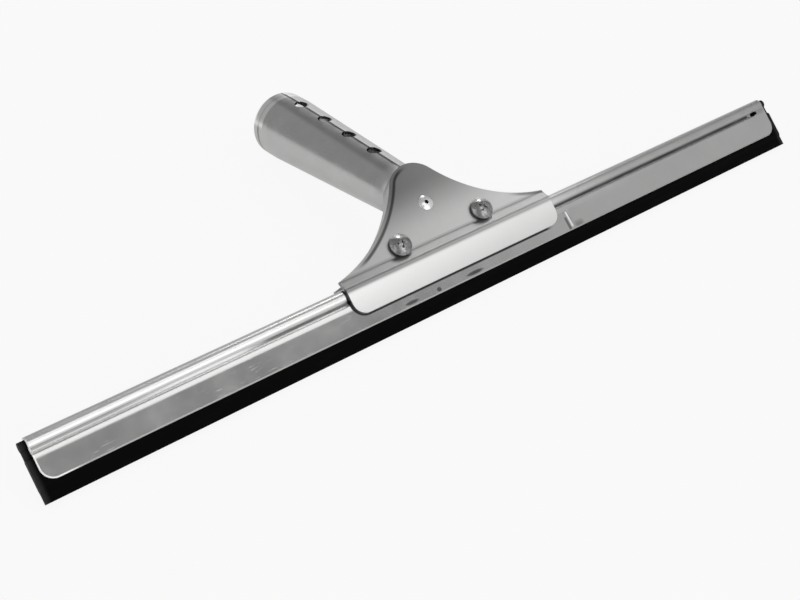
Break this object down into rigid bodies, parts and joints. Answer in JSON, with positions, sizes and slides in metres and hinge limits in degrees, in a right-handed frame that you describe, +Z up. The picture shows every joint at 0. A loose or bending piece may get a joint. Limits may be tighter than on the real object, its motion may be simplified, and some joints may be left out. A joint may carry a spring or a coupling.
{
  "type": "window squeegee",
  "caption": "Hand squeegee for windows: folded steel channel with a rubber blade, clamped in a two-sheet steel handle with a rolled tube socket.",
  "frame": {"origin": "middle of the footprint, on the surface the squeegee lies on; the rubber's lip and the underside of the socket's mouth touch that surface", "axes": "+X along the blade, +Y from the blade towards the socket's mouth, +Z up; the face with the screws looks up"},
  "size_m": [0.355, 0.1396, 0.0381],
  "materials": {
    "satin_steel": "satin, lightly scuffed",
    "polished_steel": "polished, fine draw lines along its length",
    "fastener_steel": "turned and plated",
    "black_rubber": "matte"
  },
  "bodies": {
    "clamp": {"handle_body": "satin_steel", "front_plate": "satin_steel", "centre_rivet": "fastener_steel", "rivet_spacer": "satin_steel", "spring_washer_left": "fastener_steel", "spring_washer_right": "fastener_steel", "clamp_nut_left": "fastener_steel", "clamp_nut_right": "fastener_steel"},
    "channel": {"channel": "polished_steel"},
    "rubber": {"rubber_blade": "black_rubber"},
    "screw_left": {"clamp_screw_left": "fastener_steel"},
    "screw_right": {"clamp_screw_right": "fastener_steel"}
  },
  "joints": [
    {"name": "channel_slide", "type": "slide", "parent": "clamp", "child": "channel", "axis": [1, 0, 0], "range_m": [-0.11, 0.125]},
    {"name": "rubber_slide", "type": "slide", "parent": "channel", "child": "rubber", "axis": [1, 0, 0], "range_m": [-0.3, 0.3]},
    {"name": "screw_left_turn", "type": "hinge", "parent": "clamp", "child": "screw_left", "pos_m": [-0.01975, -0.04846, 0.02136], "axis": [0, 0.5767, -0.817], "continuous": true},
    {"name": "screw_right_turn", "type": "hinge", "parent": "clamp", "child": "screw_right", "pos_m": [0.01975, -0.04846, 0.02136], "axis": [0, 0.5767, -0.817], "continuous": true}
  ]
}
